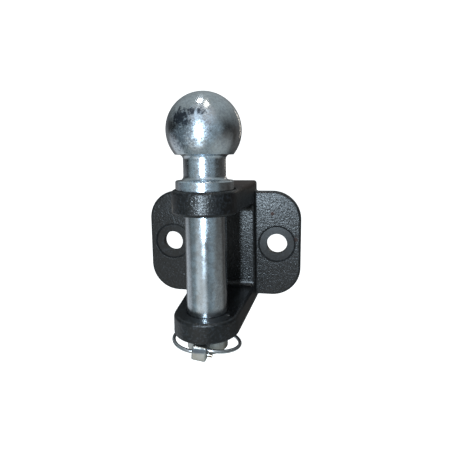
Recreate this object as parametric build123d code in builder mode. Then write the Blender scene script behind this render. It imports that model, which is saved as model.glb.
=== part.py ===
"""Two-bolt clevis hitch with a tow ball on its drop-through pin.

Frame: X to the right, +Y into the vehicle, +Z up, millimetres. The origin lies on the
casting's back face, midway between the two bolt holes.
"""

import os
from math import acos, cos, degrees, radians, sin, sqrt, tan

from build123d import *

# Plate with the two bolt holes
bolt_spacing = 90.0
bolt_hole_diameter = 17.0
plate_width = 129.6
plate_height = 88.0
wing_thickness = 7.5
plate_corner = 24.0
plate_edge_round = 2.0
spot_face_diameter = 29.8
spot_face_depth = 1.0

# Jaw: two arms that stand forward from the plate, with a throat between them
pin_reach = 66.8
arm_root_width = 56.8
ear_radius = 23.2
ear_lead = 0.8
draft_angle = 0.6
throat_wall = 11.8
seat_above_plate = 5.5
upper_arm_thickness = 15.7
upper_arm_rise = 3.2
underside_below_plate = 5.3
lower_arm_thickness = 14.1
lower_arm_rise = 1.0
throat_top_fillet = 6.0
throat_bottom_fillet = 4.0
inner_edge_round = 2.2
top_edge_round = 2.4
bottom_edge_round = 1.2
wing_root_fillet = 1.6
top_web_fillet = 1.5
bottom_web_fillet = 3.5

# Ball pin: ball, neck, collar and shank turned from one forging
ball_diameter = 50.0
ball_centre_above_seat = 39.4
ball_base_diameter = 39.0
neck_diameter = 28.6
neck_top_fillet = 3.0
collar_diameter = 39.5
collar_height = 6.8
collar_shoulder_chamfer = 0.8
neck_root_fillet = 3.0
pin_diameter = 28.5
pin_below_lower_arm = 12.7
pin_end_chamfer = 1.2
pin_clearance = 0.1
bore_chamfer = 0.8
collar_seat_margin = 1.2
collar_seat_depth = 0.3

# Linch pin across the end of the ball pin, turned a little in its hole
linch_diameter = 9.0
linch_clearance = 0.12
linch_drop = 5.9
linch_roll = 7.8
linch_head_width = 9.9
linch_head_height = 9.8
linch_head_depth = 8.0
linch_head_crown = 0.5
linch_head_round = 1.3
linch_head_gap = 3.0
linch_stick_out = 5.6
linch_point_length = 4.0
linch_point_diameter = 5.0

# Spring ring: a long leg through the head, and a short end that stops beside the head
wire_diameter = 2.5
ring_radius = 23.4
ring_length = 43.8
ring_tilt = 6.3
ring_end_offset = 3.3
ring_leg_run = 1.1
ring_stub = 3.4
ring_hole_clearance = 0.2
ring_side_gap = 0.3
ring_hole_drop = 1.0

# Heights and reaches that follow from the driving dimensions
collar_seat_height = plate_height / 2 + seat_above_plate
upper_arm_underside = collar_seat_height - upper_arm_thickness
lower_arm_underside = -plate_height / 2 - underside_below_plate
lower_arm_top = lower_arm_underside + lower_arm_thickness
throat_gap = upper_arm_underside - lower_arm_top
ear_centre_y = -pin_reach - ear_lead
ear_nose_y = ear_centre_y - ear_radius
linch_axis_z = lower_arm_underside - linch_drop
pin_tip_z = lower_arm_underside - pin_below_lower_arm
pin_radius = pin_diameter / 2
wire_radius = wire_diameter / 2

pin_axis = Axis((0, -pin_reach, 0), (0, 0, 1))
tiny = 0.01
web_overlap = 0.3
overrun = 5.0


def beside(middle, half_span):
    """Selects edges whose centre lies off the middle plane X = 0, or out on the nose."""

    def chosen(edge):
        centre = edge.center()
        return abs(centre.X) > half_span or centre.Y < middle

    return chosen


# The casting: arms and throat first, then the plate behind them
side_slope = (arm_root_width / 2 - ear_radius) / -ear_centre_y
arm_ends = (lower_arm_underside - overrun, collar_seat_height + upper_arm_rise + overrun)
with BuildPart() as jaw_casting:
    # Plan of both arms: the ear's round end with straight sides that widen to the plate.
    # The sides lean in towards the top by the casting's draft
    for height in arm_ends:
        draft = (height - lower_arm_underside) * tan(radians(draft_angle))
        half_width = arm_root_width / 2 + overrun * side_slope - draft
        with BuildSketch(Plane.XY.offset(height)):
            with BuildLine():
                CenterArc((0, ear_centre_y), ear_radius - draft, 0, 360)
                Line((-half_width, overrun), (half_width, overrun))
            make_hull()
    loft()

    # Side view of both arms and the throat wall, with rounded throat corners
    with BuildSketch(Plane.YZ) as side_view:
        with BuildLine():
            Polyline(
                (ear_nose_y, upper_arm_underside),
                (-throat_wall, upper_arm_underside),
                (-throat_wall, lower_arm_top),
                (ear_nose_y, lower_arm_top),
                (ear_nose_y, lower_arm_underside),
                (0, lower_arm_underside + lower_arm_rise),
                (0, collar_seat_height + upper_arm_rise),
                (ear_nose_y, collar_seat_height + collar_seat_depth),
                close=True,
            )
        make_face()
        throat_corners = side_view.vertices().filter_by_position(
            Axis.X, -throat_wall - tiny, -throat_wall + tiny
        )
        fillet(throat_corners.sort_by(Axis.Y)[-1], throat_top_fillet)
        throat_corners = side_view.vertices().filter_by_position(
            Axis.X, -throat_wall - tiny, -throat_wall + tiny
        )
        fillet(throat_corners.sort_by(Axis.Y)[0], throat_bottom_fillet)
    extrude(amount=arm_root_width, both=True, mode=Mode.INTERSECT)

    # Rounded cast edges: one loop inside the jaw, one over the top arm, one under the lower
    rim_edges = jaw_casting.edges().filter_by(beside(ear_centre_y, arm_root_width / 3))
    inside_loop = rim_edges.filter_by(
        lambda edge: edge.bounding_box().min.Z > lower_arm_top - tiny
        and edge.bounding_box().max.Z < upper_arm_underside + tiny
    )
    fillet(inside_loop, inner_edge_round)
    rim_edges = jaw_casting.edges().filter_by(beside(ear_centre_y, arm_root_width / 3))
    top_loop = rim_edges.filter_by(
        lambda edge: edge.bounding_box().min.Z > collar_seat_height - tiny
    )
    fillet(top_loop, top_edge_round)
    rim_edges = jaw_casting.edges().filter_by(beside(ear_centre_y, arm_root_width / 3))
    bottom_loop = rim_edges.filter_by(
        lambda edge: edge.bounding_box().max.Z < lower_arm_underside + lower_arm_rise + tiny
    )
    fillet(bottom_loop, bottom_edge_round)

    # Plate with its two wings
    with BuildSketch(Plane.XZ) as plate_outline:
        Rectangle(plate_width, plate_height)
        fillet(plate_outline.vertices(), plate_corner)
    extrude(amount=wing_thickness)
    front_edges = jaw_casting.edges().filter_by_position(
        Axis.Y, -wing_thickness - tiny, -wing_thickness + tiny
    )
    wing_rim = front_edges.filter_by(lambda edge: abs(edge.center().X) > arm_root_width / 2)
    fillet(wing_rim, plate_edge_round)
    front_edges = jaw_casting.edges().filter_by_position(
        Axis.Y, -wing_thickness - tiny, -wing_thickness + tiny
    )
    wing_roots = front_edges.filter_by(
        lambda edge: abs(edge.center().X) < arm_root_width / 2 and edge.length > throat_gap
    )
    fillet(wing_roots, wing_root_fillet)

    # Small webs where the wings' top and bottom edges run into the arms
    web_depth = wing_thickness - plate_edge_round
    for outward, web_radius in ((1, top_web_fillet), (-1, bottom_web_fillet)):
        edge_z = outward * plate_height / 2
        lean = (edge_z - lower_arm_underside) * tan(radians(draft_angle))
        web_x = arm_root_width / 2 - lean - web_depth * side_slope - web_overlap
        inner_z = edge_z - outward * web_radius
        outer_z = edge_z + outward * web_radius
        bulge = web_radius * (1 - sqrt(0.5))
        with BuildSketch(Plane.XZ):
            with BuildLine():
                Polyline(
                    (web_x + web_radius, edge_z),
                    (web_x + web_radius, inner_z),
                    (web_x - web_overlap, inner_z),
                    (web_x - web_overlap, outer_z),
                    (web_x, outer_z),
                )
                ThreePointArc(
                    (web_x, outer_z),
                    (web_x + bulge, edge_z + outward * bulge),
                    (web_x + web_radius, edge_z),
                )
            make_face()
            mirror(about=Plane.YZ)
        extrude(amount=web_depth)

    # Bolt holes with machined spot faces
    with BuildSketch(Plane.XZ.offset(wing_thickness - spot_face_depth)):
        with GridLocations(bolt_spacing, 0, 2, 1):
            Circle(spot_face_diameter / 2)
    extrude(amount=spot_face_depth, mode=Mode.SUBTRACT)
    with BuildSketch(Plane.XZ):
        with GridLocations(bolt_spacing, 0, 2, 1):
            Circle(bolt_hole_diameter / 2)
    extrude(amount=wing_thickness, mode=Mode.SUBTRACT)

    # Flat seat for the collar, then one bore through both arms
    with BuildSketch(Plane.XY.offset(collar_seat_height)):
        with Locations((0, -pin_reach)):
            Circle(collar_diameter / 2 + collar_seat_margin)
    extrude(amount=upper_arm_rise, mode=Mode.SUBTRACT)
    with BuildSketch(Plane.XY.offset(lower_arm_underside)):
        with Locations((0, -pin_reach)):
            Circle(pin_radius + pin_clearance)
    extrude(amount=collar_seat_height - lower_arm_underside, mode=Mode.SUBTRACT)
    bore_mouths = jaw_casting.edges().filter_by(GeomType.CIRCLE).filter_by(
        lambda edge: abs(edge.radius - pin_radius - pin_clearance) < tiny
    )
    chamfer(bore_mouths, bore_chamfer)
jaw_casting.part.label = "jaw_casting"


# The ball pin: one turned profile, then the cross hole for the linch pin
ball_centre_z = collar_seat_height + ball_centre_above_seat
ball_radius = ball_diameter / 2
ball_base_radius = ball_base_diameter / 2
ball_base_z = ball_centre_z - sqrt(ball_radius**2 - ball_base_radius**2)
collar_top_z = collar_seat_height + collar_height
linch_bore_radius = linch_diameter / 2 + linch_clearance
with BuildPart() as ball_pin:
    with BuildSketch(Plane.XZ.offset(pin_reach)) as turned_profile:
        with BuildLine():
            Polyline(
                (0, ball_centre_z + ball_radius),
                (0, pin_tip_z),
                (pin_radius, pin_tip_z),
                (pin_radius, collar_seat_height),
                (collar_diameter / 2, collar_seat_height),
                (collar_diameter / 2, collar_top_z),
                (neck_diameter / 2, collar_top_z),
                (neck_diameter / 2, ball_base_z),
                (ball_base_radius, ball_base_z),
            )
            ThreePointArc(
                (ball_base_radius, ball_base_z),
                (ball_radius, ball_centre_z),
                (0, ball_centre_z + ball_radius),
            )
        make_face()
        profile_corners = turned_profile.vertices()
        tip_corner = profile_corners.group_by(Axis.Y)[0].sort_by(Axis.X)[-1]
        chamfer(tip_corner, pin_end_chamfer)
        collar_corner = turned_profile.vertices().filter_by_position(
            Axis.Y, collar_top_z - tiny, collar_top_z + tiny
        ).sort_by(Axis.X)[-1]
        chamfer(collar_corner, collar_shoulder_chamfer)
        neck_root = turned_profile.vertices().filter_by_position(
            Axis.Y, collar_top_z - tiny, collar_top_z + tiny
        ).sort_by(Axis.X)[0]
        fillet(neck_root, neck_root_fillet)
        neck_top = turned_profile.vertices().filter_by_position(
            Axis.Y, ball_base_z - tiny, ball_base_z + tiny
        ).sort_by(Axis.X)[0]
        fillet(neck_top, neck_top_fillet)
    revolve(axis=pin_axis)
    with BuildSketch(Plane.XZ.offset(pin_reach)):
        with Locations((0, linch_axis_z)):
            Circle(linch_bore_radius)
    extrude(amount=pin_diameter, both=True, mode=Mode.SUBTRACT)
ball_pin.part.label = "ball_pin"


# The linch pin's own frame: origin on the ball pin's axis, local Z out towards the head
roll = radians(linch_roll)
linch_frame = Plane(
    origin=(0, -pin_reach, linch_axis_z),
    x_dir=(cos(roll), 0, -sin(roll)),
    z_dir=(0, -1, 0),
)
linch_side = Plane(
    origin=linch_frame.origin, x_dir=linch_frame.z_dir, z_dir=-linch_frame.x_dir
)
head_back = pin_radius + linch_head_gap
head_front = head_back + linch_head_depth
hinge_reach = head_back + linch_head_depth / 2
linch_radius = linch_diameter / 2
linch_point = -pin_radius - linch_stick_out
with BuildPart() as linch_pin:
    # Flattened head with a slightly crowned front and rounded edges
    with BuildSketch(linch_side):
        with BuildLine():
            half_height = linch_head_height / 2
            sides = Polyline(
                (head_front - linch_head_crown, half_height),
                (head_back, half_height),
                (head_back, -half_height),
                (head_front - linch_head_crown, -half_height),
            )
            ThreePointArc(sides @ 1, (head_front, 0), sides @ 0)
        make_face()
    extrude(amount=linch_head_width / 2, both=True)
    fillet(linch_pin.edges(), linch_head_round)

    # Round shank with a tapered point
    with BuildSketch(linch_side):
        with BuildLine():
            Polyline(
                (hinge_reach, 0),
                (linch_point, 0),
                (linch_point, linch_point_diameter / 2),
                (linch_point + linch_point_length, linch_radius),
                (hinge_reach, linch_radius),
                close=True,
            )
        make_face()
    revolve(axis=Axis(linch_frame.origin, linch_frame.z_dir))

    # Hole across the head for the ring's long leg
    with BuildSketch(linch_side):
        with Locations((hinge_reach, -ring_hole_drop)):
            Circle(wire_radius + ring_hole_clearance)
    extrude(amount=linch_head_width, both=True, mode=Mode.SUBTRACT)
linch_pin.part.label = "linch_pin"


def half_ring(length):
    """Radius and turn of the tighter bend next to the head, for a half ring this long."""
    centre = length - ring_radius
    bend_start = linch_head_width / 2 + ring_leg_run
    bend_radius = (ring_radius**2 - bend_start**2 - centre**2) / (2 * (ring_radius - centre))
    turn = degrees(acos((centre - bend_radius) / (ring_radius - bend_radius)))
    return bend_radius, turn


# The spring ring: two half rings that meet behind the ball pin, each in its own plane
across = linch_frame.x_dir
up = linch_frame.y_dir
back = -linch_frame.z_dir
hinge_point = linch_frame.origin - back * hinge_reach - up * ring_hole_drop
short_end_point = hinge_point + up * ring_end_offset
tilt = radians(ring_tilt)
far_rise = ring_end_offset / 2 - ring_length * sin(tilt)
far_point = hinge_point + back * (ring_length * cos(tilt)) + up * far_rise
long_side = Plane(
    origin=hinge_point, x_dir=across, z_dir=across.cross(far_point - hinge_point)
)
short_side = Plane(
    origin=short_end_point, x_dir=across, z_dir=across.cross(far_point - short_end_point)
)
head_half = linch_head_width / 2
with BuildPart() as linch_ring:
    # Long leg from the stub's end, through the head and round the left side
    bend_radius, turn = half_ring((far_point - hinge_point).length)
    with BuildLine(long_side) as long_path:
        leg = Line((head_half + ring_stub, 0), (-head_half - ring_leg_run, 0))
        bend = JernArc(leg @ 1, (-1, 0), bend_radius, -turn)
        JernArc(bend @ 1, bend % 1, ring_radius, turn - 180)

    # Right side, from behind the ball pin to the short end beside the head
    bend_radius, turn = half_ring((far_point - short_end_point).length)
    with BuildLine(short_side):
        far_side = JernArc((0, (far_point - short_end_point).length), (1, 0), ring_radius, turn - 180)
        bend = JernArc(far_side @ 1, far_side % 1, bend_radius, -turn)
        Line(bend @ 1, (head_half + ring_side_gap, 0))
    with BuildSketch(Plane(origin=long_path.line @ 0, z_dir=-across)):
        Circle(wire_radius)
    sweep()
linch_ring.part.label = "linch_ring"


os.makedirs("parts", exist_ok=True)
for piece in (jaw_casting, ball_pin, linch_pin, linch_ring):
    export_step(piece.part, f"parts/{piece.part.label}.step")
    print(piece.part.label, round(piece.part.volume), "mm3", piece.part.bounding_box())
print("ring hinge", hinge_point, "axis", -across)
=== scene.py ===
# %% [markdown]
# # A clevis hitch with a tow ball
# A tractor's or van's clevis hitch is a one-piece iron casting: a plate with two bolt wings and two arms
# that reach forward as a jaw. A turned pin with a 50 mm ball on top drops through both arms, and a small
# linch pin with a wire ring keeps it from coming out. The shapes come ready made from the solid model, as
# four pieces that already move on their joints, so this lesson is about their surfaces: glossy paint over
# a sand casting, blotchy zinc over turned steel, and bright spring wire. It also sets up the camera and
# the light of a small product studio.

# %% Load the solid model
import math

import bpy
from mathutils import Matrix, Vector


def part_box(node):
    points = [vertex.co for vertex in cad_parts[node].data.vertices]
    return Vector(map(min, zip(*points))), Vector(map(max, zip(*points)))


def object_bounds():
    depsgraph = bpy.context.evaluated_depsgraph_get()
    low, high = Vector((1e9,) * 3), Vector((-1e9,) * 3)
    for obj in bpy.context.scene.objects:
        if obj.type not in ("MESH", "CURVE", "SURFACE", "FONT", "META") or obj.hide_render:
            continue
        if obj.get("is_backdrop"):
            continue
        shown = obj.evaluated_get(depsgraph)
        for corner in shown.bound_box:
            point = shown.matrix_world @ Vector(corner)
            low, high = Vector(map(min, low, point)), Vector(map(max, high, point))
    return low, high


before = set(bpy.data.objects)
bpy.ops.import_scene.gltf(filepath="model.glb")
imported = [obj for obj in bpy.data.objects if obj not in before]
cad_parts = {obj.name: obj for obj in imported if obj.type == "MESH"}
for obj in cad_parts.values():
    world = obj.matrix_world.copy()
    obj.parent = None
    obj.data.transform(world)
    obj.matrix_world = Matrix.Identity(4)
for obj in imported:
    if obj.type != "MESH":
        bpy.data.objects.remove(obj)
solid_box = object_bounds()
print("pieces in the frame:", sorted(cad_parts))

# %% [markdown]
# ## The camera
# The photograph was taken from a little above and to the right of the hitch, about 30 cm in front of it.
# A camera could be aimed with a tracking constraint, but one that looks along a known direction is easier
# to place with three turns: round the vertical for where it points, then up or down, then a small lean. A
# lens shift moves the picture without turning the camera, which keeps the upright lines of the pin as
# parallel as they are in the photograph. Places are in metres and turns in radians.

# %% Camera at the photograph's viewpoint
PICTURE = 452
FOCAL_PIXELS = 368.21
AXIS_ACROSS, AXIS_DOWN = 238.32, 212.42
SENSOR = 36.0
EYE = (0.062396, -0.307713, 0.069703)
TURN_LEFT, LOOK_DOWN, LEAN = 0.163692, 0.142116, 0.006625

camera_data = bpy.data.cameras.new("studio_camera")
camera_data.sensor_width = SENSOR
camera_data.lens = FOCAL_PIXELS * SENSOR / PICTURE
camera_data.shift_x = (PICTURE / 2 - AXIS_ACROSS) / PICTURE
camera_data.shift_y = (AXIS_DOWN - PICTURE / 2) / PICTURE
camera_data.clip_start, camera_data.clip_end = 0.01, 50.0
camera = bpy.data.objects.new("studio_camera", camera_data)
bpy.context.scene.collection.objects.link(camera)
camera.matrix_world = (
    Matrix.Translation(EYE)
    @ Matrix.Rotation(TURN_LEFT, 4, "Z")
    @ Matrix.Rotation(math.pi / 2 - LOOK_DOWN, 4, "X")
    @ Matrix.Rotation(-LEAN, 4, "Z")
)
bpy.context.scene.camera = camera
print("camera lens", round(camera_data.lens, 2), "mm")

# %% [markdown]
# ## The floor and backdrop
# In use the hitch is bolted to a vehicle, so the floor lies well below it and the opened ring hangs free.
# A product shot needs a ground without a corner. A floor and a wall would show the line where they meet,
# so a studio uses a sweep: a strip of paper that lies flat and then curves up. Here it is one bent sheet,
# flat under the hitch, then a quarter circle, then upright. Its paper is almost white, and it is kept out
# of reflections and bounced light, because the real hitch was lit in a darker room and its sides stay dark.

# %% Sweep of pale paper
FLOOR_BELOW_PIN = 0.08
BEND_STEPS = 16


def make_sweep(floor_height, half_width, front, wall, bend, rise):
    profile = [(front, floor_height), (wall - bend, floor_height)]
    for step in range(1, BEND_STEPS + 1):
        angle = math.pi / 2 * step / BEND_STEPS
        profile.append((wall - bend + bend * math.sin(angle),
                        floor_height + bend * (1 - math.cos(angle))))
    profile.append((wall, floor_height + rise))
    corners = [(x, y, z) for y, z in profile for x in (-half_width, half_width)]
    faces = [(2 * i, 2 * i + 1, 2 * i + 3, 2 * i + 2) for i in range(len(profile) - 1)]
    mesh = bpy.data.meshes.new("paper_sweep")
    mesh.from_pydata(corners, [], faces)
    mesh.shade_smooth()
    sheet = bpy.data.objects.new("paper_sweep", mesh)
    bpy.context.scene.collection.objects.link(sheet)
    return sheet


floor_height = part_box("ball_pin")[0].z - FLOOR_BELOW_PIN
sweep = make_sweep(floor_height, half_width=3.0, front=-2.0, wall=1.3, bend=0.5, rise=3.0)
sweep.visible_glossy = False
sweep.visible_diffuse = False
sweep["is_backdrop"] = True
print("floor at", round(floor_height * 1000, 1), "mm")

# %% Pale paper
paper = bpy.data.materials.new("pale_paper")
paper.use_nodes = True
paper_look = {
    "Base Color": (0.93, 0.93, 0.93, 1),
    "Roughness": 0.9,
    "Emission Color": (1, 1, 1, 1),
    "Emission Strength": 0.8,
}
for socket, value in paper_look.items():
    paper.node_tree.nodes["Principled BSDF"].inputs[socket].default_value = value
sweep.data.materials.append(paper)
print("the sweep wears", paper.name)

# %% [markdown]
# ## The lamps
# One small lamp beside the lens makes the tall highlight on the ball and the shadow that the pin throws
# into the jaw. Two small ceiling lamps, a white and a warm one, make the pair of spots on top of the ball
# and light the upper sides of the arms. A slim warm lamp behind draws a thin rim. Area lamps are used
# and not points, because a point would leave no highlight with a shape on polished steel. Each row gives
# a name, the lamp's place, where it looks, its width and height, its power in watts and its colour.

# %% Lamps
def add_lamp(name, place, target, width, height, watts, colour):
    lamp = bpy.data.lights.new(name, "AREA")
    lamp.shape = "RECTANGLE"
    lamp.size, lamp.size_y = width, height
    lamp.energy = watts
    lamp.color = colour
    thing = bpy.data.objects.new(name, lamp)
    thing.location = place
    thing.rotation_euler = (Vector(target) - Vector(place)).to_track_quat("-Z", "Y").to_euler()
    bpy.context.scene.collection.objects.link(thing)


LAMPS = [
    ("lens_lamp", (0.006, -0.34, 0.052), (0, -0.04, 0.02), 0.018, 0.040, 0.82, (0.71, 0.87, 1.0)),
    ("overhead_lamp", (-0.06, -0.09, 0.60), (0, -0.08, 0.10), 0.07, 0.07, 0.36, (0.94, 0.97, 1.0)),
    ("warm_ceiling_lamp", (0.09, -0.17, 0.58), (0, -0.08, 0.10), 0.07, 0.07, 0.18, (1.0, 0.93, 0.82)),
    ("rim_lamp", (0.25, 0.50, 0.20), (0, -0.05, 0.05), 0.03, 0.30, 0.07, (1.0, 0.90, 0.78)),
]
for lamp in LAMPS:
    add_lamp(*lamp)
print("lamps:", [lamp[0] for lamp in LAMPS])

# %% [markdown]
# ## A room to mirror
# Polished steel shows its surroundings, so it needs a room. Real walls could be built and lit, but
# painting the world with a few soft walls of light is quicker. Each wall has a direction. A ray's cosine
# to that direction says how squarely it meets the wall, and the wall fades in from the first cosine of its
# row to the second. The first row starts below any cosine, so it adds a faint light all round. Of the
# helpers, calc hands back its result, and vector_calc the whole node, because some vector operations put
# out a number and others a vector.

# %% Helpers that add and connect nodes
def connect(tree, value, socket):
    if isinstance(value, bpy.types.NodeSocket):
        tree.links.new(value, socket)
    else:
        socket.default_value = value


def add_node(tree, kind, place=(0, 0), name=None, **sockets):
    node = tree.nodes.new(kind)
    node.location = place
    if name:
        node.name = node.label = name
    for socket, value in sockets.items():
        connect(tree, value, node.inputs[socket.replace("_", " ")])
    return node


def add_maths(tree, kind, operation, place, values):
    node = add_node(tree, kind, place)
    node.operation = operation
    for socket, value in zip(node.inputs, values):
        connect(tree, value, socket)
    return node


def calc(tree, operation, place, *values):
    return add_maths(tree, "ShaderNodeMath", operation, place, values).outputs[0]


def vector_calc(tree, operation, place, *values):
    return add_maths(tree, "ShaderNodeVectorMath", operation, place, values)


# %% Walls of light round the hitch
WALLS = [
    ("all_round", (0, 0, 1), -3.0, -2.0, (0.008, 0.008, 0.008)),
    ("left_table", (-0.92, 0.20, -0.46), 0.88, 0.985, (0.49, 0.53, 0.57)),
    ("left_back", (-0.72, 0.66, -0.25), 0.84, 0.98, (0.20, 0.21, 0.22)),
    ("left_front", (-0.75, -0.62, -0.10), 0.80, 0.97, (0.23, 0.28, 0.30)),
    ("right_front", (0.70, -0.68, 0.08), 0.84, 0.98, (0.20, 0.25, 0.28)),
    ("right_table", (0.80, -0.10, -0.60), 0.72, 1.0, (0.20, 0.21, 0.21)),
    ("right_back", (0.80, 0.50, -0.25), 0.80, 0.98, (0.06, 0.058, 0.055)),
    ("table_in_front", (-0.25, -0.85, -0.50), 0.80, 0.97, (0.46, 0.43, 0.40)),
    ("floor_below", (0, -0.20, -0.98), 0.15, 0.92, (0.30, 0.36, 0.38)),
    ("ceiling", (0, 0.0, 1.0), 0.0, 0.88, (0.41, 0.47, 0.49)),
    ("ceiling_in_front", (0.1, -0.75, 0.65), 0.70, 0.95, (0.31, 0.29, 0.31)),
    ("back_room", (0.2, 0.95, 0.1), 0.60, 0.97, (0.09, 0.09, 0.09)),
]
ROW_HEIGHT = 220
room = bpy.data.worlds.new("soft_room")
bpy.context.scene.world = room
room.use_nodes = True
room_tree = room.node_tree
room_tree.nodes.clear()
ray = add_node(room_tree, "ShaderNodeTexCoord", (-1300, 0)).outputs["Generated"]
total = None
for row, (label, direction, start, full, tone) in enumerate(WALLS):
    level = -ROW_HEIGHT * row
    facing = vector_calc(room_tree, "DOT_PRODUCT", (-1000, level), ray, Vector(direction).normalized())
    soft = add_node(room_tree, "ShaderNodeMapRange", (-800, level), label,
                    Value=facing.outputs["Value"], From_Min=start, From_Max=full)
    soft.interpolation_type = "SMOOTHSTEP"
    wall = vector_calc(room_tree, "SCALE", (-600, level), tone)
    connect(room_tree, soft.outputs["Result"], wall.inputs["Scale"])
    if total is None:
        total = wall.outputs[0]
    else:
        total = vector_calc(room_tree, "ADD", (-400, level), total, wall.outputs[0]).outputs[0]
print("walls of light:", len(WALLS))

# %% White behind, walls in reflections
room_light = add_node(room_tree, "ShaderNodeBackground", (-200, 0), "room_light", Color=total, Strength=1.0)
white = add_node(room_tree, "ShaderNodeBackground", (-200, -150), "white_behind",
                 Color=(1, 1, 1, 1), Strength=1.0)
seen = add_node(room_tree, "ShaderNodeLightPath", (-200, 300))
pick = add_node(room_tree, "ShaderNodeMixShader", (50, 0), Fac=seen.outputs["Is Camera Ray"])
connect(room_tree, room_light.outputs[0], pick.inputs[1])
connect(room_tree, white.outputs[0], pick.inputs[2])
add_node(room_tree, "ShaderNodeOutputWorld", (250, 0), Surface=pick.outputs[0])
bpy.context.scene.view_settings.view_transform = "Standard"
print("view transform:", bpy.context.scene.view_settings.view_transform)

# %% [markdown]
# ## Shared effects
# Real surfaces repeat a few effects: blotches, marks at one place, tool lines and the skin of a sand mould.
# Each one could be drawn anew in every finish. Here each is built once as a node group with named inputs
# and then placed with other values, which keeps the finishes short and lets a learner change one effect
# everywhere at once. All of them read the piece's own coordinates in millimetres, so the marks stay on the
# piece when it moves and their sizes can be compared with a ruler.

# %% Helpers that start a group
MM_PER_METRE = 1000.0


def start_group(name, inputs, outputs):
    group = bpy.data.node_groups.new(name, "ShaderNodeTree")
    for label, kind, value in inputs:
        socket = group.interface.new_socket(label, in_out="INPUT", socket_type="NodeSocket" + kind)
        socket.default_value = value
    for label in outputs:
        group.interface.new_socket(label, in_out="OUTPUT", socket_type="NodeSocketFloat")
    start = add_node(group, "NodeGroupInput", (-900, 0))
    end = add_node(group, "NodeGroupOutput", (700, 0))
    return group, start.outputs, end.inputs


def millimetres(tree, place=(-900, -300)):
    spot = add_node(tree, "ShaderNodeTexCoord", place)
    scaled = vector_calc(tree, "SCALE", (place[0] + 180, place[1]), spot.outputs["Object"])
    scaled.inputs["Scale"].default_value = MM_PER_METRE
    return scaled.outputs[0]


def per_size(tree, place, size):
    return calc(tree, "DIVIDE", place, 1.0, size)


# %% [markdown]
# ### Blotches
# Zinc, paint film and rust are never even. They could be painted by hand on an unwrapped mesh, but fractal
# noise cut at a threshold gives islands with ragged edges on any shape. The threshold sets how much of the
# surface they cover, and the softness how sharply they end.

# %% Group: blotches
blotches, given, result = start_group(
    "blotches",
    [("Size", "Float", 8.0), ("Raggedness", "Float", 0.6),
     ("Threshold", "Float", 0.5), ("Softness", "Float", 0.1)],
    ["Mask"],
)
noise = add_node(blotches, "ShaderNodeTexNoise", (-400, 0),
                 Vector=millimetres(blotches), Scale=per_size(blotches, (-600, 0), given["Size"]),
                 Detail=6.0, Roughness=given["Raggedness"], Distortion=0.5)
low = calc(blotches, "SUBTRACT", (-200, -150), given["Threshold"], given["Softness"])
high = calc(blotches, "ADD", (-200, -300), given["Threshold"], given["Softness"])
cut = add_node(blotches, "ShaderNodeMapRange", (100, 0),
               Value=noise.outputs["Fac"], From_Min=low, From_Max=high)
cut.interpolation_type = "SMOOTHSTEP"
connect(blotches, cut.outputs["Result"], result["Mask"])
print("group:", blotches.name)

# %% [markdown]
# ### A mark at one place
# A rust spot, a smear or a machined ring sits at a known place. Its mask is an ellipsoid round a centre,
# in millimetres, whose edge is broken up by noise. Ragged at 0 leaves a clean machined edge. An ellipsoid
# needs no unwrapped mesh and can be placed with the numbers of a drawing.

# %% Group: local mark
WANDER_REACH = 4.0
local_mark, given, result = start_group(
    "local_mark",
    [("Centre", "Vector", (0, 0, 0)), ("Reach", "Vector", (5, 5, 5)), ("Ragged", "Float", 0.5),
     ("Grain", "Float", 2.0), ("Softness", "Float", 0.3)],
    ["Mask"],
)
inside = millimetres(local_mark)
offset = vector_calc(local_mark, "SUBTRACT", (-600, 0), inside, given["Centre"])
shape = vector_calc(local_mark, "DIVIDE", (-420, 0), offset.outputs[0], given["Reach"])
far = vector_calc(local_mark, "LENGTH", (-240, 0), shape.outputs[0])
noise = add_node(local_mark, "ShaderNodeTexNoise", (-420, -250), Vector=inside,
                 Scale=per_size(local_mark, (-600, -250), given["Grain"]), Detail=4.0, Roughness=0.65)
sway = calc(local_mark, "SUBTRACT", (-300, -400), noise.outputs["Fac"], 0.5)
wander = calc(local_mark, "MULTIPLY", (-200, -250), sway, given["Ragged"])
wander = calc(local_mark, "MULTIPLY", (-50, -200), wander, WANDER_REACH)
edge = calc(local_mark, "ADD", (-50, 0), far.outputs["Value"], wander)
cut = add_node(local_mark, "ShaderNodeMapRange", (200, 0), Value=edge,
               From_Min=calc(local_mark, "SUBTRACT", (50, -300), 1.0, given["Softness"]),
               From_Max=calc(local_mark, "ADD", (50, -450), 1.0, given["Softness"]),
               To_Min=1.0, To_Max=0.0)
cut.interpolation_type = "SMOOTHSTEP"
connect(local_mark, cut.outputs["Result"], result["Mask"])
print("group:", local_mark.name)

# %% [markdown]
# ### Tool lines
# A lathe leaves fine rings round the work. Noise in one dimension, read along the turning axis, gives
# rings of uneven depth, where a wave texture would give rings that are all alike. As a bump they also
# stretch highlights along the axis, as on the real ball.

# %% Group: tool lines
tool_lines, given, result = start_group(
    "tool_lines", [("Axis", "Vector", (0, 0, 1)), ("Spacing", "Float", 0.6)], ["Height"]
)
along = vector_calc(tool_lines, "DOT_PRODUCT", (-500, 0), millimetres(tool_lines), given["Axis"])
spaced = calc(tool_lines, "DIVIDE", (-250, 0), along.outputs["Value"], given["Spacing"])
ring = add_node(tool_lines, "ShaderNodeTexNoise", (0, 0), Scale=1.0, Detail=3.0, Roughness=0.7)
ring.noise_dimensions = "1D"
connect(tool_lines, spaced, ring.inputs["W"])
connect(tool_lines, ring.outputs["Fac"], result["Height"])
print("group:", tool_lines.name)

# %% [markdown]
# ### The skin of a sand mould
# Molten iron copies the sand it was poured against: fine grains on top of soft lumps. Real grains in the
# mesh would cost millions of faces, so two noises of different size make a height for a bump. Paint rounds
# the grains off, so only the bump's depth changes between pieces. The grains alone are put out as well,
# for finishes that colour their peaks.

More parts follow.
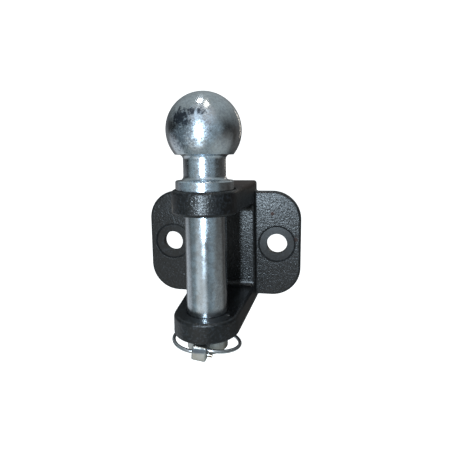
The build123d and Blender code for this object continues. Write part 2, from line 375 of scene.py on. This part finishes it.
# %% Group: sand skin
sand_skin, given, result = start_group(
    "sand_skin",
    [("Grain", "Float", 1.6), ("Lumps", "Float", 6.0), ("Lump Share", "Float", 0.5)],
    ["Height", "Grit"],
)
inside = millimetres(sand_skin)
grit = add_node(sand_skin, "ShaderNodeTexNoise", (-200, 100), Vector=inside,
                Scale=per_size(sand_skin, (-450, 100), given["Grain"]),
                Detail=2.0, Roughness=0.5, Distortion=0.5)
lump = add_node(sand_skin, "ShaderNodeTexNoise", (-200, -200), Vector=inside,
                Scale=per_size(sand_skin, (-450, -200), given["Lumps"]), Detail=2.0, Roughness=0.5)
lumps = calc(sand_skin, "MULTIPLY", (50, -200), lump.outputs["Fac"], given["Lump Share"])
both = calc(sand_skin, "ADD", (250, 0), grit.outputs["Fac"], lumps)
connect(sand_skin, both, result["Height"])
connect(sand_skin, grit.outputs["Fac"], result["Grit"])
print("group:", sand_skin.name)

# %% [markdown]
# ### Edges
# Paint and zinc wear first where a piece is convex. The edges could be picked by hand, but an occlusion
# ray sent into the metal comes back soon near an edge and not at all under a flat face, which marks the
# edges of any shape without touching the mesh. The width is in millimetres.

# %% Group: edge mask
edge_mask, given, result = start_group(
    "edge_mask", [("Width", "Float", 1.0), ("Strength", "Float", 2.0)], ["Mask"]
)
width = calc(edge_mask, "MULTIPLY", (-600, 0), given["Width"], 1 / MM_PER_METRE)
inward = add_node(edge_mask, "ShaderNodeAmbientOcclusion", (-400, 0), Distance=width)
inward.inside, inward.samples = True, 6
bare = calc(edge_mask, "SUBTRACT", (-150, 0), 1.0, inward.outputs["AO"])
strong = calc(edge_mask, "MULTIPLY", (50, 0), bare, given["Strength"])
strong.node.use_clamp = True
connect(edge_mask, strong, result["Mask"])
print("group:", edge_mask.name)

# %% [markdown]
# ## Tools of the finisher
# Each finish below starts from a plain material, places some groups, mixes colours by their masks and
# dresses one piece. Marks are kept as rows of a table, which is easier to read and change than a node for
# each one written out: a name, the centre and the reach in millimetres, how ragged the edge is, the
# size of the grain that breaks it up, and for some a colour and its share.

# %% Helpers that place groups and mix colours
def start_finish(name):
    material = bpy.data.materials.new(name)
    material.use_nodes = True
    return material, material.node_tree, material.node_tree.nodes["Principled BSDF"]


def place_group(tree, group, place, label="", **values):
    node = tree.nodes.new("ShaderNodeGroup")
    node.node_tree, node.location, node.label = group, place, label
    for socket, value in values.items():
        node.inputs[socket.replace("_", " ")].default_value = value
    return node


def tint(tree, place, base, colour, mask, share=1.0):
    node = tree.nodes.new("ShaderNodeMix")
    node.data_type, node.location = "RGBA", place
    if not isinstance(base, bpy.types.NodeSocket):
        base = (*base, 1)
    connect(tree, base, node.inputs["A"])
    node.inputs["B"].default_value = (*colour, 1)
    if share != 1.0:
        mask = calc(tree, "MULTIPLY", (place[0] - 160, place[1] - 200), mask, share)
    connect(tree, mask, node.inputs["Factor"])
    return node.outputs["Result"]


def dress(node_name, material):
    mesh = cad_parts[node_name].data
    mesh.materials.clear()
    mesh.materials.append(material)
    print(node_name, "wears", material.name)


# %% Helpers for rows of marks
def place_marks(tree, place, rows, softness):
    masks = []
    for step, (label, centre, reach, ragged, grain, *_) in enumerate(rows):
        mark = place_group(tree, local_mark, (place[0], place[1] - ROW_HEIGHT * step), label,
                           Centre=centre, Reach=reach, Ragged=ragged, Grain=grain, Softness=softness)
        masks.append(mark.outputs["Mask"])
    return masks


def strongest(tree, place, masks):
    highest = masks[0]
    for step, mask in enumerate(masks[1:]):
        highest = calc(tree, "MAXIMUM", (place[0] + 60 * step, place[1]), highest, mask)
    return highest


def tint_marks(tree, place, colour, rows, masks):
    for step, ((*_, hue, share), mask) in enumerate(zip(rows, masks)):
        colour = tint(tree, (place[0] + 60 * step, place[1]), colour, hue, mask, share)
    return colour


# %% [markdown]
# ## Black paint over the casting
# The casting was dipped or sprayed in glossy black. Seen close, the sand skin under it breaks the lamp's
# reflection into sparkles. A speckled colour could imitate that, but it would look the same from every
# side, so a bump makes nearly all of it, and only the highest grains, where the paint is thin, are a
# little paler. A brown film lies on both arms, two rust spots sit on the right wing, a paler patch is
# coloured on the left edge of the upper ear, and some grit sticks to the lower arm. The first rows of the
# table also roughen the paint.

# %% Paint: marks and their places
RUST = (0.085, 0.032, 0.020)
FILM = (0.060, 0.024, 0.014)
DEEP_BLACK, THIN_BLACK = (0.0008, 0.0009, 0.0011), (0.017, 0.020, 0.024)
RUSTY_ROWS = 4
paint, tree, shader = start_finish("black_paint_on_casting")
paint_marks = [
    ("rust_spot_upper", (41.3, -7.5, 25.6), (1.5, 3, 1.5), 0.35, 1.0, RUST, 0.55),
    ("rust_spot_outer", (60.6, -7.5, 4.5), (1.5, 3, 1.8), 0.50, 1.0, RUST, 0.30),
    ("film_on_upper_arm", (18.0, -32.0, 52.0), (30.0, 36.0, 4.0), 0.30, 5.0, FILM, 0.45),
    # A paler patch coloured on the left edge of the upper ear.
    ("paler_left_ear_edge", (-21.5, -77.0, 37.5), (4.0, 6.0, 7.0), 0.35, 2.0, (0.16, 0.13, 0.11), 0.6),
    ("film_on_lower_arm", (20.0, -40.0, -46.0), (5.0, 28.0, 4.0), 0.30, 3.0, FILM, 0.6),
    ("grit_on_lower_arm", (16.5, -73.9, -35.2), (0.8, 0.8, 2.0), 0.10, 1.0, (0.15, 0.14, 0.13), 0.8),
]
skin = place_group(tree, sand_skin, (-1500, -300), Grain=1.45, Lumps=4.5, Lump_Share=0.7)
peaks = add_node(tree, "ShaderNodeMapRange", (-1250, 1000), "bright_sand_peaks",
                 Value=skin.outputs["Grit"], From_Min=0.52, From_Max=0.68)
colour = tint(tree, (-1000, 1000), DEEP_BLACK, THIN_BLACK, peaks.outputs["Result"])
masks = place_marks(tree, (-1200, 600), paint_marks, softness=0.3)
colour = tint_marks(tree, (-700, 500), colour, paint_marks, masks)
rusty = strongest(tree, (-840, 200), masks[:RUSTY_ROWS])
specks = place_group(tree, blotches, (-1200, 800), "rust_specks",
                     Size=2.2, Raggedness=0.5, Threshold=0.73, Softness=0.04)
colour = tint(tree, (-250, 500), colour, RUST, specks.outputs["Mask"], 0.5)
connect(tree, colour, shader.inputs["Base Color"])
print("marks on the paint:", len(paint_marks))

# %% [markdown]
# ### Where the skin is smooth
# The two spot faces round the bolt holes were milled before painting, so they are smooth, and the cutter's
# corner left a thin dark line round each. The sides of the arms slid along the mould when the pattern was
# drawn out, which smeared their sand. The first are found by place and the second by which way they face.

# %% Paint: milled spot faces and drafted sides
BOLT_OFFSET, SEAT_LEVEL, SEAT_DEPTH = 45.0, -7.0, 3.5
SEAT_RADIUS, CORNER_RADIUS = 14.4, 15.6


def round_seats(radius, top):
    rows = [
        (f"seat_{side}", (x, SEAT_LEVEL, 0), (radius, SEAT_DEPTH, radius), 0.0, 2.0)
        for side, x in (("left", -BOLT_OFFSET), ("right", BOLT_OFFSET))
    ]
    return strongest(tree, (-950, top), place_marks(tree, (-1200, top), rows, softness=0.02))


milled = round_seats(SEAT_RADIUS, -900)
groove = calc(tree, "SUBTRACT", (-800, -1000), round_seats(CORNER_RADIUS, -1300), milled)
normal = add_node(tree, "ShaderNodeNewGeometry", (-1200, -1800)).outputs["Normal"]
facing = []
for level, axis in ((-1800, (1, 0, 0)), (-1950, (0, 0, 1))):
    cosine = vector_calc(tree, "DOT_PRODUCT", (-1050, level), normal, axis).outputs["Value"]
    facing.append(calc(tree, "ABSOLUTE", (-900, level), cosine))
drafted = add_node(tree, "ShaderNodeMapRange", (-700, -1800), "drafted_sides",
                   Value=strongest(tree, (-800, -1800), facing), From_Min=0.93, From_Max=0.985)
print("milled seats", 2 * SEAT_RADIUS, "mm across, at", BOLT_OFFSET, "mm to each side")

# %% Paint: gloss and relief
RUST_ROUGHER, GROOVE_ROUGHER, GROOVE_DROP = 0.40, 0.55, -1.2
DRAFTED_SHARE, SMOOTHED_AWAY = 0.8, 0.90
dull = place_group(tree, blotches, (-900, -100), Size=14.0, Raggedness=0.6, Threshold=0.5, Softness=0.2)
gloss = add_node(tree, "ShaderNodeMapRange", (-450, 0), "gloss",
                 Value=dull.outputs["Mask"], To_Min=0.33, To_Max=0.40)
rough = calc(tree, "MULTIPLY_ADD", (-250, 0), rusty, RUST_ROUGHER, gloss.outputs["Result"])
rough = calc(tree, "MULTIPLY_ADD", (-150, 0), groove, GROOVE_ROUGHER, rough)
connect(tree, rough, shader.inputs["Roughness"])
sides = calc(tree, "MULTIPLY", (-600, -1300), drafted.outputs["Result"], DRAFTED_SHARE)
flat = calc(tree, "MAXIMUM", (-650, -500), milled, sides)
relief = add_node(
    tree, "ShaderNodeBump", (-200, -400), "sand_relief",
    Strength=calc(tree, "MULTIPLY_ADD", (-450, -500), flat, -SMOOTHED_AWAY, 1.0),
    Distance=0.00030,
    Height=calc(tree, "MULTIPLY_ADD", (-400, -700), groove, GROOVE_DROP, skin.outputs["Height"]),
)
connect(tree, relief.outputs["Normal"], shader.inputs["Normal"])
shader.inputs["Specular IOR Level"].default_value = 0.64
dress("jaw_casting", paint)

# %% [markdown]
# ## Zinc on the turned pin
# The ball, the shank and its collar are one bar, turned and then plated. Zinc is bright, but patches of it
# frost over: they scatter light and look bluish white, while clean patches mirror the dark room. The frost
# patches are placed round the lamp's highlight at the front, so their bluish white is partly a painted glow.
# One even metal would look like chrome, so the finish mixes metals by masks, a smooth greyer one and a rough
# paler one. A painted dark reflection with a painted highlight in it, a frosted band and speckles are placed
# on the left of the ball, where the photograph shows them. A painted dark reflection band and a painted glow
# run down the shank, and the tip has a painted warm reflection.

# %% Zinc: clouds, frost and painted glow
CLEAN, CLOUD, FROST_AND_GLOW = (0.50, 0.52, 0.53), (0.60, 0.64, 0.67), (0.74, 0.88, 1.00)
FINE_SPOTS = (0.36, 0.38, 0.42)
zinc, tree, shader = start_finish("zinc_on_turned_pin")
# Frost and painted glow: these rows sit at the front of each turned surface, round the lamp's highlight.
# Their roughness is frost, and their bluish-white colour is a painted glow round that highlight.
frost_and_glow_places = [
    ("frost_and_painted_glow_ball", (0.0, -91.0, 88.5), (14.5, 9, 10.5), 0.60, 4.0),
    ("frost_and_painted_glow_neck", (2.0, -80.0, 66.0), (9.0, 6, 11.0), 0.50, 3.0),
    ("frost_and_painted_glow_collar", (-2.0, -86.0, 53.0), (14.0, 8, 4.5), 0.40, 3.0),
    ("frost_and_painted_glow_shank_top", (2.5, -81.0, 28.0), (7.5, 5, 9.0), 0.50, 3.0),
]
cloud = place_group(tree, blotches, (-1500, 900), Size=6.0, Raggedness=0.68, Threshold=0.5, Softness=0.14)
colour = tint(tree, (-1200, 700), CLEAN, CLOUD, cloud.outputs["Mask"])
fine = place_group(tree, blotches, (-1500, 1150), Size=1.7, Raggedness=0.6, Threshold=0.53, Softness=0.08)
colour = tint(tree, (-1100, 700), colour, FINE_SPOTS, fine.outputs["Mask"], 0.55)
frost_and_glow = strongest(tree, (-1250, 250), place_marks(tree, (-1500, 600), frost_and_glow_places, softness=0.45))
mottled = place_group(tree, blotches, (-1500, -400),
                      Size=1.1, Raggedness=0.6, Threshold=0.46, Softness=0.20)
frost_and_glow = calc(tree, "MULTIPLY", (-1050, 0), frost_and_glow, mottled.outputs["Mask"])
# The bluish-white tint over the frost is partly a painted glow round the lamp's highlight.
colour = tint(tree, (-950, 700), colour, FROST_AND_GLOW, frost_and_glow, 0.85)
print("frosted places on the zinc:", len(frost_and_glow_places))

# %% Zinc: painted reflections, highlights and speckles
DARK_REFLECTION, SPECKLE = (0.035, 0.045, 0.065), (0.06, 0.08, 0.12)
DARK_BAND_TONE, WARM_REFLECTION = (0.36, 0.38, 0.40), (0.46, 0.43, 0.34)
painted_reflections_and_speckles = [
    # Painted dark reflection: two dark patches on the ball's upper left stand in for the dark room it
    # mirrors.
    ("painted_dark_reflection_left", (-9.2, -89.4, 95.4), (5.8, 7, 5.0), 1.20, 2.2, DARK_REFLECTION, 0.94),
    ("painted_dark_reflection_middle", (1.4, -89.6, 98.6), (5.6, 5, 2.2), 0.80, 1.6, DARK_REFLECTION, 0.92),
    # Painted highlight: a bright bluish-white sliver inside the painted dark reflection.
    ("painted_highlight_spike", (1.2, -90.6, 96.6), (0.9, 4, 3.0), 0.30, 1.0, FROST_AND_GLOW, 0.9),
    ("speckled_left", (-8.0, -90.0, 83.5), (7.5, 6, 7.0), 1.60, 1.5, SPECKLE, 0.6),
    # Painted reflection: a darker band down the left of the shank's front.
    ("painted_dark_band_on_shank", (-4.2, -80.0, 2.0), (3.6, 3, 42.0), 0.55, 4.0, DARK_BAND_TONE, 0.6),
    # Painted glow: a paler bluish tint on the shank's front, round the lamp's highlight.
    ("painted_glow_front_of_shank", (1.5, -81.0, -8.0), (6.5, 5, 32.0), 1.20, 5.0, FROST_AND_GLOW, 0.45),
    # Painted warm reflection: the tip below the lower ear is tinted yellow-beige.
    ("painted_warm_reflection_tip", (0.0, -66.0, -62.0), (20.0, 20, 9.0), 0.20, 3.0, WARM_REFLECTION, 0.8),
]
masks = place_marks(tree, (-1500, -700), painted_reflections_and_speckles, softness=0.60)
colour = tint_marks(tree, (-850, 700), colour, painted_reflections_and_speckles, masks)
connect(tree, colour, shader.inputs["Base Color"])
shader.inputs["Metallic"].default_value = 1.0
print("smears on the zinc:", len(painted_reflections_and_speckles))

# %% [markdown]
# ### Two bumps in a row
# The lathe's rings lie under the zinc's own fine grain. A bump node passes on its normal, so the second
# starts from the first one's result, and each keeps a depth of its own in metres. The shader's anisotropy
# then stretches highlights round the pin, as thousands of rings too fine to draw would.

# %% Zinc: polish and lathe lines
FROST_ROUGHER = 0.18


def add_bump(tree, place, name, depth, height, under=None):
    bump = add_node(tree, "ShaderNodeBump", place, name, Strength=1.0, Distance=depth, Height=height)
    if under is not None:
        connect(tree, under, bump.inputs["Normal"])
    return bump.outputs["Normal"]


polish = add_node(tree, "ShaderNodeMapRange", (-450, 0), "polish",
                  Value=cloud.outputs["Mask"], To_Min=0.16, To_Max=0.24)
rough = calc(tree, "MULTIPLY_ADD", (-250, 0), frost_and_glow, FROST_ROUGHER, polish.outputs["Result"])
connect(tree, rough, shader.inputs["Roughness"])
lathe = place_group(tree, tool_lines, (-900, -500), Axis=(0, 0, 1), Spacing=0.4)
pits = place_group(tree, sand_skin, (-900, -700), Grain=1.0, Lumps=5.0, Lump_Share=0.3)
grooved = add_bump(tree, (-450, -500), "lathe_grooves", 0.000014, lathe.outputs["Height"])
dented = add_bump(tree, (-200, -500), "zinc_grain", 0.000014, pits.outputs["Height"], grooved)
connect(tree, dented, shader.inputs["Normal"])
shader.inputs["Anisotropic"].default_value = 0.60
shader.inputs["Anisotropic Rotation"].default_value = 0.25
round_the_pin = add_node(tree, "ShaderNodeTangent", (-450, -900))
round_the_pin.direction_type, round_the_pin.axis = "RADIAL", "Z"
connect(tree, round_the_pin.outputs["Tangent"], shader.inputs["Tangent"])
dress("ball_pin", zinc)

# %% [markdown]
# ## Satin zinc on the linch pin
# The linch pin is a forging with a duller, slightly yellow plating. Its edges are rubbed bright, the top
# of its head under the ear is painted dark as shade and as a reflection of the black ear, and the shank has
# turning lines along its own axis. It shares the groups of the ball pin with calmer values, so both read
# as one metal from the same bath.

# %% Linch pin: colour
YELLOWISH, WHITISH = (0.50, 0.49, 0.45), (0.60, 0.60, 0.57)
BARE_EDGE, PAINTED_SHADE = (0.66, 0.66, 0.66), (0.12, 0.135, 0.155)
satin, tree, shader = start_finish("satin_zinc_on_linch_pin")
cloud = place_group(tree, blotches, (-1000, 500), Size=3.5, Raggedness=0.6, Threshold=0.5, Softness=0.18)
rubbed = place_group(tree, edge_mask, (-1000, 200), Width=0.9, Strength=2.2)
# Painted shade: the top of the head under the ear is coloured dark, for its shade and its dark reflection of
# the ear, and made rougher.
painted_shade_top_of_head = place_group(tree, local_mark, (-1000, 0), "painted_shade_top_of_head",
                        Centre=(0, -88.0, -52.8), Reach=(8.0, 8.0, 1.9), Ragged=0.2, Grain=1.5, Softness=0.3)
colour = tint(tree, (-600, 400), YELLOWISH, WHITISH, cloud.outputs["Mask"])
colour = tint(tree, (-400, 400), colour, BARE_EDGE, rubbed.outputs["Mask"], 0.4)
colour = tint(tree, (-250, 400), colour, PAINTED_SHADE, painted_shade_top_of_head.outputs["Mask"], 0.9)
connect(tree, colour, shader.inputs["Base Color"])
shader.inputs["Metallic"].default_value = 1.0
print("finish started:", satin.name)

# %% Linch pin: gloss and relief
SHADED_TOP_ROUGHER = 0.35
satin_gloss = add_node(tree, "ShaderNodeMapRange", (-450, 0), "satin_gloss",
                       Value=cloud.outputs["Mask"], To_Min=0.34, To_Max=0.46)
rough = calc(tree, "MULTIPLY_ADD", (-200, -100),
             painted_shade_top_of_head.outputs["Mask"], SHADED_TOP_ROUGHER, satin_gloss.outputs["Result"])
connect(tree, rough, shader.inputs["Roughness"])
turned = place_group(tree, tool_lines, (-1000, -300), Axis=(0, 1, 0), Spacing=0.7)
forged = place_group(tree, sand_skin, (-1000, -500), Grain=0.8, Lumps=3.0, Lump_Share=1.0)
lined = add_bump(tree, (-450, -400), "turned_lines", 0.000015, turned.outputs["Height"])
skinned = add_bump(tree, (-200, -400), "forged_skin", 0.00005, forged.outputs["Height"], lined)
connect(tree, skinned, shader.inputs["Normal"])
dress("linch_pin", satin)

# %% [markdown]
# ## Drawn spring wire
# The ring is bright wire. Drawing it through a die leaves it smooth, handling leaves it a little blotchy,
# and its cut end that stands out of the head has gone brown. A plain metal would do from afar, but close
# up the wire's uneven gloss is what tells it from plastic.

# %% Ring finish
BRIGHT_WIRE, HANDLED_WIRE, BROWN_END = (0.60, 0.62, 0.64), (0.40, 0.41, 0.42), (0.30, 0.23, 0.17)
wire, tree, shader = start_finish("bright_spring_wire")
handled = place_group(tree, blotches, (-1000, 500),
                      Size=2.5, Raggedness=0.6, Threshold=0.5, Softness=0.15)
cut_end = place_group(tree, local_mark, (-1000, 200), "cut_end",
                      Centre=(8.2, -88.0, -58.5), Reach=(3.2, 4, 2.6), Ragged=0.2, Grain=1.0, Softness=0.3)
colour = tint(tree, (-600, 400), BRIGHT_WIRE, HANDLED_WIRE, handled.outputs["Mask"])
colour = tint(tree, (-400, 400), colour, BROWN_END, cut_end.outputs["Mask"])
connect(tree, colour, shader.inputs["Base Color"])
shader.inputs["Metallic"].default_value = 1.0
wire_gloss = add_node(tree, "ShaderNodeMapRange", (-450, 0), "wire_gloss",
                      Value=handled.outputs["Mask"], To_Min=0.22, To_Max=0.36)
connect(tree, wire_gloss.outputs["Result"], shader.inputs["Roughness"])
drawn = place_group(tree, sand_skin, (-1000, -300), Grain=0.5, Lumps=2.0, Lump_Share=0.8)
wire_skin = add_bump(tree, (-200, -300), "wire_skin", 0.00002, drawn.outputs["Height"])
connect(tree, wire_skin, shader.inputs["Normal"])
dress("linch_ring", wire)

# %% [markdown]
# ## Measure and finish
# The looks mustn't change the size of the part. The box of what is shown is compared with the solid
# model's box.

# %% Compare the boxes and finish
shown_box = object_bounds()
differences = [b - a for solid, shown in zip(solid_box, shown_box) for a, b in zip(solid, shown)]
print("box difference mm:", [round(metres * 1000, 3) for metres in differences])
